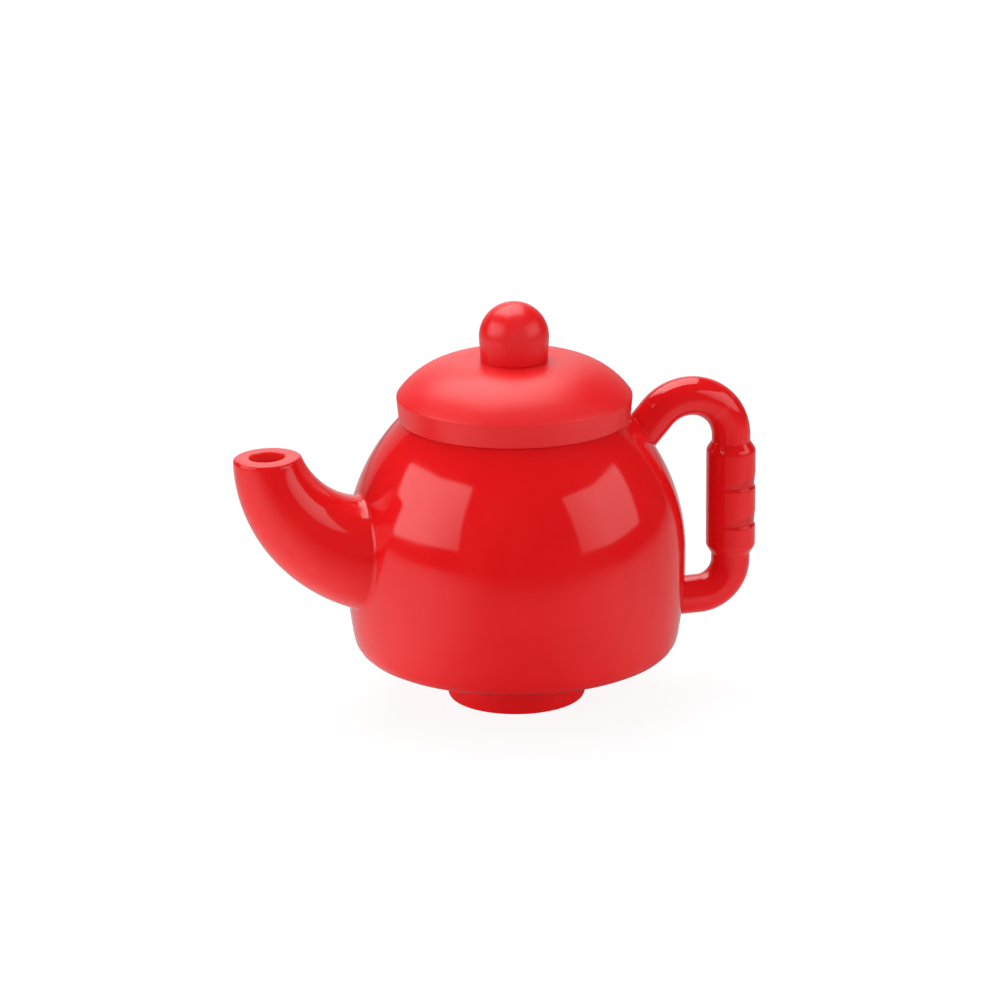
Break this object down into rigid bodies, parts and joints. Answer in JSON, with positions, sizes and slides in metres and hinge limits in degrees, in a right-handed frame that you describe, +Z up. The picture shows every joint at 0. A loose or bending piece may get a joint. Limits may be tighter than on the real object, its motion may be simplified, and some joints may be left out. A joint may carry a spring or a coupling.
{
  "type": "toy teapot",
  "caption": "Small red toy teapot with a curved spout, a looped handle with a thick grip, a lift-off domed lid with a ball knob, and a stud socket in its foot.",
  "frame": {"origin": "on the pot's axis, in the plane of the foot's lower rim, at the mouth of the stud socket", "axes": "+Z up along the pot's axis, +X towards the handle, the spout points along -X, and the XZ plane is the plane of symmetry"},
  "size_m": [0.0531, 0.0336, 0.0402],
  "materials": {
    "gloss_red": "gloss moulded ABS",
    "satin_red": "satin moulded ABS"
  },
  "bodies": {
    "pot": {"body_shell": "gloss_red", "base_plate": "gloss_red", "spout": "gloss_red", "handle_bar": "gloss_red", "handle_grip": "gloss_red"},
    "lid": {"lid_cover": "satin_red", "lid_liner": "satin_red", "lid_knob": "satin_red"}
  },
  "joints": [
    {"name": "lid_lift", "type": "slide", "parent": "pot", "child": "lid", "axis": [0, 0, 1], "range_m": [0, 0.02]}
  ]
}
